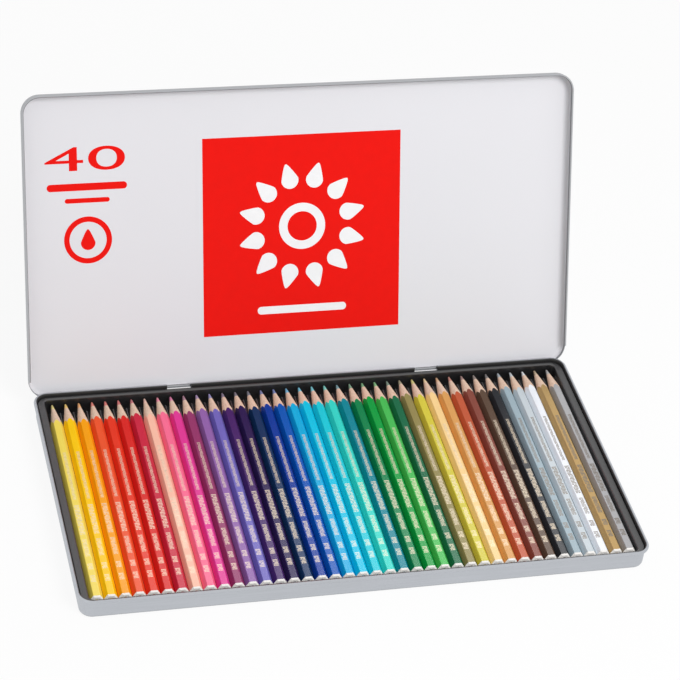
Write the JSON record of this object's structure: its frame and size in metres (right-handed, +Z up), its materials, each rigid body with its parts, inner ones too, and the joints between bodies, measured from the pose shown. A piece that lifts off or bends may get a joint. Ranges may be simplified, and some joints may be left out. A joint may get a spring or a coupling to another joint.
{
  "type": "tin of watercolour pencils",
  "caption": "Flat hinged metal tin, open, with sharpened hexagonal colour pencils lying side by side in a grooved black tray that lifts out.",
  "frame": {"origin": "centre of the base's flat underside", "axes": "+X along the row of pencils to the right, +Y back towards the hinged lid, +Z up"},
  "size_m": [0.3536, 0.2655, 0.1889],
  "materials": {
    "tinplate": "bare satin tinplate",
    "lid_lacquer": "white lacquered inside, bare satin edges",
    "pin_wire": "drawn steel wire",
    "tray_plastic": "black vacuum-formed sheet",
    "lacquer_light_yellow": "gloss lacquer on wood",
    "lacquer_golden_yellow": "gloss lacquer on wood",
    "lacquer_orange": "gloss lacquer on wood",
    "lacquer_reddish_orange": "gloss lacquer on wood",
    "lacquer_vermilion": "gloss lacquer on wood",
    "lacquer_red": "gloss lacquer on wood",
    "lacquer_carmine": "gloss lacquer on wood",
    "lacquer_salmon": "gloss lacquer on wood",
    "lacquer_pink": "gloss lacquer on wood",
    "lacquer_fuchsia": "gloss lacquer on wood",
    "lacquer_aubergine": "gloss lacquer on wood",
    "lacquer_mauve": "gloss lacquer on wood",
    "lacquer_periwinkle": "gloss lacquer on wood",
    "lacquer_dark_purple": "gloss lacquer on wood",
    "lacquer_violet_navy": "gloss lacquer on wood",
    "lacquer_prussian_blue": "gloss lacquer on wood",
    "lacquer_ultramarine": "gloss lacquer on wood",
    "lacquer_cobalt_blue": "gloss lacquer on wood",
    "lacquer_sky_blue": "gloss lacquer on wood",
    "lacquer_cerulean": "gloss lacquer on wood",
    "lacquer_bright_cyan": "gloss lacquer on wood",
    "lacquer_turquoise": "gloss lacquer on wood",
    "lacquer_teal": "gloss lacquer on wood",
    "lacquer_emerald_green": "gloss lacquer on wood",
    "lacquer_green": "gloss lacquer on wood",
    "lacquer_light_green": "gloss lacquer on wood",
    "lacquer_dark_green": "gloss lacquer on wood",
    "lacquer_olive": "gloss lacquer on wood",
    "lacquer_chartreuse": "gloss lacquer on wood",
    "lacquer_cream_ochre": "gloss lacquer on wood",
    "lacquer_tan_ochre": "gloss lacquer on wood",
    "lacquer_rust": "gloss lacquer on wood",
    "lacquer_red_brown": "gloss lacquer on wood",
    "lacquer_dark_brown": "gloss lacquer on wood",
    "lacquer_black": "gloss lacquer on wood",
    "lacquer_blue_grey": "gloss lacquer on wood",
    "lacquer_light_grey": "gloss lacquer on wood",
    "lacquer_white": "gloss lacquer on wood",
    "lacquer_gold": "gloss lacquer on wood",
    "lacquer_silver": "gloss lacquer on wood"
  },
  "bodies": {
    "base": {"base_pan": "tinplate", "hinge_pin_left": "pin_wire", "hinge_pin_right": "pin_wire"},
    "lid": {"lid_pan": "lid_lacquer"},
    "tray": {"pencil_tray": "tray_plastic"},
    "pencil_01": {"pencil_01_light_yellow": "lacquer_light_yellow"},
    "pencil_02": {"pencil_02_golden_yellow": "lacquer_golden_yellow"},
    "pencil_03": {"pencil_03_orange": "lacquer_orange"},
    "pencil_04": {"pencil_04_reddish_orange": "lacquer_reddish_orange"},
    "pencil_05": {"pencil_05_vermilion": "lacquer_vermilion"},
    "pencil_06": {"pencil_06_red": "lacquer_red"},
    "pencil_07": {"pencil_07_carmine": "lacquer_carmine"},
    "pencil_08": {"pencil_08_salmon": "lacquer_salmon"},
    "pencil_09": {"pencil_09_pink": "lacquer_pink"},
    "pencil_10": {"pencil_10_fuchsia": "lacquer_fuchsia"},
    "pencil_11": {"pencil_11_aubergine": "lacquer_aubergine"},
    "pencil_12": {"pencil_12_mauve": "lacquer_mauve"},
    "pencil_13": {"pencil_13_periwinkle": "lacquer_periwinkle"},
    "pencil_14": {"pencil_14_dark_purple": "lacquer_dark_purple"},
    "pencil_15": {"pencil_15_violet_navy": "lacquer_violet_navy"},
    "pencil_16": {"pencil_16_prussian_blue": "lacquer_prussian_blue"},
    "pencil_17": {"pencil_17_ultramarine": "lacquer_ultramarine"},
    "pencil_18": {"pencil_18_cobalt_blue": "lacquer_cobalt_blue"},
    "pencil_19": {"pencil_19_sky_blue": "lacquer_sky_blue"},
    "pencil_20": {"pencil_20_cerulean": "lacquer_cerulean"},
    "pencil_21": {"pencil_21_bright_cyan": "lacquer_bright_cyan"},
    "pencil_22": {"pencil_22_turquoise": "lacquer_turquoise"},
    "pencil_23": {"pencil_23_teal": "lacquer_teal"},
    "pencil_24": {"pencil_24_emerald_green": "lacquer_emerald_green"},
    "pencil_25": {"pencil_25_green": "lacquer_green"},
    "pencil_26": {"pencil_26_light_green": "lacquer_light_green"},
    "pencil_27": {"pencil_27_dark_green": "lacquer_dark_green"},
    "pencil_28": {"pencil_28_olive": "lacquer_olive"},
    "pencil_29": {"pencil_29_chartreuse": "lacquer_chartreuse"},
    "pencil_30": {"pencil_30_cream_ochre": "lacquer_cream_ochre"},
    "pencil_31": {"pencil_31_tan_ochre": "lacquer_tan_ochre"},
    "pencil_32": {"pencil_32_rust": "lacquer_rust"},
    "pencil_33": {"pencil_33_red_brown": "lacquer_red_brown"},
    "pencil_34": {"pencil_34_dark_brown": "lacquer_dark_brown"},
    "pencil_35": {"pencil_35_black": "lacquer_black"},
    "pencil_36": {"pencil_36_blue_grey": "lacquer_blue_grey"},
    "pencil_37": {"pencil_37_light_grey": "lacquer_light_grey"},
    "pencil_38": {"pencil_38_white": "lacquer_white"},
    "pencil_39": {"pencil_39_gold": "lacquer_gold"},
    "pencil_40": {"pencil_40_silver": "lacquer_silver"}
  },
  "joints": [
    {"name": "lid_hinge", "type": "hinge", "parent": "base", "child": "lid", "pos_m": [0, 0.0946, 0.01195], "axis": [-1, 0, 0], "range_deg": [-113, 0]},
    {"name": "tray_lift", "type": "slide", "parent": "base", "child": "tray", "axis": [0, 0, 1], "range_m": [0, 0.03]},
    {"name": "pencil_01_lift", "type": "slide", "parent": "tray", "child": "pencil_01", "axis": [0, 0, 1], "range_m": [0, 0.03]},
    {"name": "pencil_02_lift", "type": "slide", "parent": "tray", "child": "pencil_02", "axis": [0, 0, 1], "range_m": [0, 0.03]},
    {"name": "pencil_03_lift", "type": "slide", "parent": "tray", "child": "pencil_03", "axis": [0, 0, 1], "range_m": [0, 0.03]},
    {"name": "pencil_04_lift", "type": "slide", "parent": "tray", "child": "pencil_04", "axis": [0, 0, 1], "range_m": [0, 0.03]},
    {"name": "pencil_05_lift", "type": "slide", "parent": "tray", "child": "pencil_05", "axis": [0, 0, 1], "range_m": [0, 0.03]},
    {"name": "pencil_06_lift", "type": "slide", "parent": "tray", "child": "pencil_06", "axis": [0, 0, 1], "range_m": [0, 0.03]},
    {"name": "pencil_07_lift", "type": "slide", "parent": "tray", "child": "pencil_07", "axis": [0, 0, 1], "range_m": [0, 0.03]},
    {"name": "pencil_08_lift", "type": "slide", "parent": "tray", "child": "pencil_08", "axis": [0, 0, 1], "range_m": [0, 0.03]},
    {"name": "pencil_09_lift", "type": "slide", "parent": "tray", "child": "pencil_09", "axis": [0, 0, 1], "range_m": [0, 0.03]},
    {"name": "pencil_10_lift", "type": "slide", "parent": "tray", "child": "pencil_10", "axis": [0, 0, 1], "range_m": [0, 0.03]},
    {"name": "pencil_11_lift", "type": "slide", "parent": "tray", "child": "pencil_11", "axis": [0, 0, 1], "range_m": [0, 0.03]},
    {"name": "pencil_12_lift", "type": "slide", "parent": "tray", "child": "pencil_12", "axis": [0, 0, 1], "range_m": [0, 0.03]},
    {"name": "pencil_13_lift", "type": "slide", "parent": "tray", "child": "pencil_13", "axis": [0, 0, 1], "range_m": [0, 0.03]},
    {"name": "pencil_14_lift", "type": "slide", "parent": "tray", "child": "pencil_14", "axis": [0, 0, 1], "range_m": [0, 0.03]},
    {"name": "pencil_15_lift", "type": "slide", "parent": "tray", "child": "pencil_15", "axis": [0, 0, 1], "range_m": [0, 0.03]},
    {"name": "pencil_16_lift", "type": "slide", "parent": "tray", "child": "pencil_16", "axis": [0, 0, 1], "range_m": [0, 0.03]},
    {"name": "pencil_17_lift", "type": "slide", "parent": "tray", "child": "pencil_17", "axis": [0, 0, 1], "range_m": [0, 0.03]},
    {"name": "pencil_18_lift", "type": "slide", "parent": "tray", "child": "pencil_18", "axis": [0, 0, 1], "range_m": [0, 0.03]},
    {"name": "pencil_19_lift", "type": "slide", "parent": "tray", "child": "pencil_19", "axis": [0, 0, 1], "range_m": [0, 0.03]},
    {"name": "pencil_20_lift", "type": "slide", "parent": "tray", "child": "pencil_20", "axis": [0, 0, 1], "range_m": [0, 0.03]},
    {"name": "pencil_21_lift", "type": "slide", "parent": "tray", "child": "pencil_21", "axis": [0, 0, 1], "range_m": [0, 0.03]},
    {"name": "pencil_22_lift", "type": "slide", "parent": "tray", "child": "pencil_22", "axis": [0, 0, 1], "range_m": [0, 0.03]},
    {"name": "pencil_23_lift", "type": "slide", "parent": "tray", "child": "pencil_23", "axis": [0, 0, 1], "range_m": [0, 0.03]},
    {"name": "pencil_24_lift", "type": "slide", "parent": "tray", "child": "pencil_24", "axis": [0, 0, 1], "range_m": [0, 0.03]},
    {"name": "pencil_25_lift", "type": "slide", "parent": "tray", "child": "pencil_25", "axis": [0, 0, 1], "range_m": [0, 0.03]},
    {"name": "pencil_26_lift", "type": "slide", "parent": "tray", "child": "pencil_26", "axis": [0, 0, 1], "range_m": [0, 0.03]},
    {"name": "pencil_27_lift", "type": "slide", "parent": "tray", "child": "pencil_27", "axis": [0, 0, 1], "range_m": [0, 0.03]},
    {"name": "pencil_28_lift", "type": "slide", "parent": "tray", "child": "pencil_28", "axis": [0, 0, 1], "range_m": [0, 0.03]},
    {"name": "pencil_29_lift", "type": "slide", "parent": "tray", "child": "pencil_29", "axis": [0, 0, 1], "range_m": [0, 0.03]},
    {"name": "pencil_30_lift", "type": "slide", "parent": "tray", "child": "pencil_30", "axis": [0, 0, 1], "range_m": [0, 0.03]},
    {"name": "pencil_31_lift", "type": "slide", "parent": "tray", "child": "pencil_31", "axis": [0, 0, 1], "range_m": [0, 0.03]},
    {"name": "pencil_32_lift", "type": "slide", "parent": "tray", "child": "pencil_32", "axis": [0, 0, 1], "range_m": [0, 0.03]},
    {"name": "pencil_33_lift", "type": "slide", "parent": "tray", "child": "pencil_33", "axis": [0, 0, 1], "range_m": [0, 0.03]},
    {"name": "pencil_34_lift", "type": "slide", "parent": "tray", "child": "pencil_34", "axis": [0, 0, 1], "range_m": [0, 0.03]},
    {"name": "pencil_35_lift", "type": "slide", "parent": "tray", "child": "pencil_35", "axis": [0, 0, 1], "range_m": [0, 0.03]},
    {"name": "pencil_36_lift", "type": "slide", "parent": "tray", "child": "pencil_36", "axis": [0, 0, 1], "range_m": [0, 0.03]},
    {"name": "pencil_37_lift", "type": "slide", "parent": "tray", "child": "pencil_37", "axis": [0, 0, 1], "range_m": [0, 0.03]},
    {"name": "pencil_38_lift", "type": "slide", "parent": "tray", "child": "pencil_38", "axis": [0, 0, 1], "range_m": [0, 0.03]},
    {"name": "pencil_39_lift", "type": "slide", "parent": "tray", "child": "pencil_39", "axis": [0, 0, 1], "range_m": [0, 0.03]},
    {"name": "pencil_40_lift", "type": "slide", "parent": "tray", "child": "pencil_40", "axis": [0, 0, 1], "range_m": [0, 0.03]}
  ]
}
